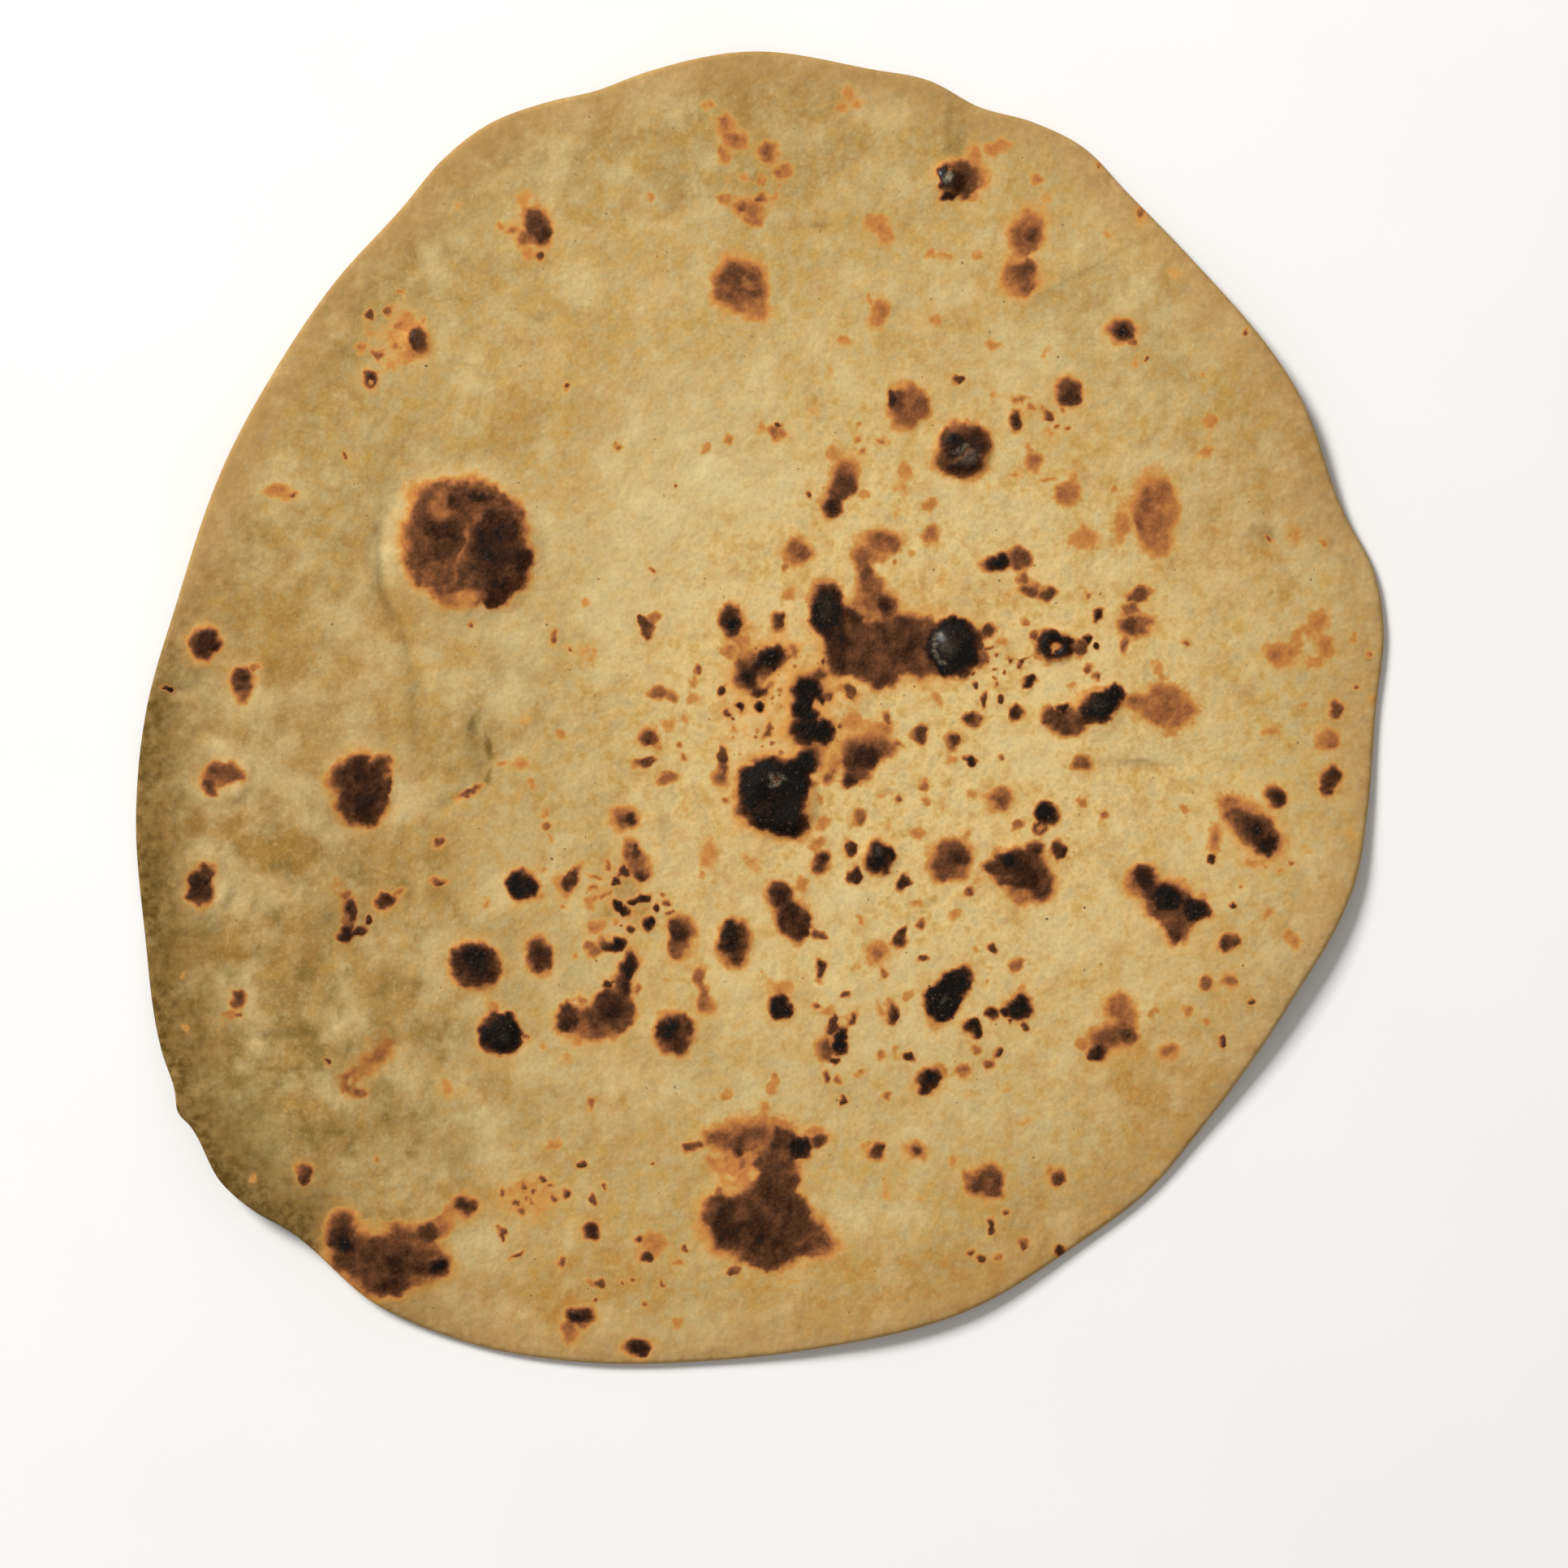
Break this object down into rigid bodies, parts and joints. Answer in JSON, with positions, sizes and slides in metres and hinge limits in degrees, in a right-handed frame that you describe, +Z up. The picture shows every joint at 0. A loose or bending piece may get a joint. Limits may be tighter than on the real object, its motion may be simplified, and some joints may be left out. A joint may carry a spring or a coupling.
{
  "type": "whole wheat chapati",
  "caption": "Thin, hand-rolled round of griddled flatbread with an uneven outline, browned blisters and creases, lying flat with its browned side up.",
  "frame": {"origin": "middle of the outline, on the surface that the bread lies on", "axes": "+Z up out of the browned side; +X to the right and +Y to the top as one looks down on that side"},
  "size_m": [0.1734, 0.1822, 0.0043],
  "materials": {
    "crust": "dry, matte, slightly floury baked dough with browned and charred spots"
  },
  "bodies": {
    "root": {"chapati": "crust"}
  },
  "joints": []
}
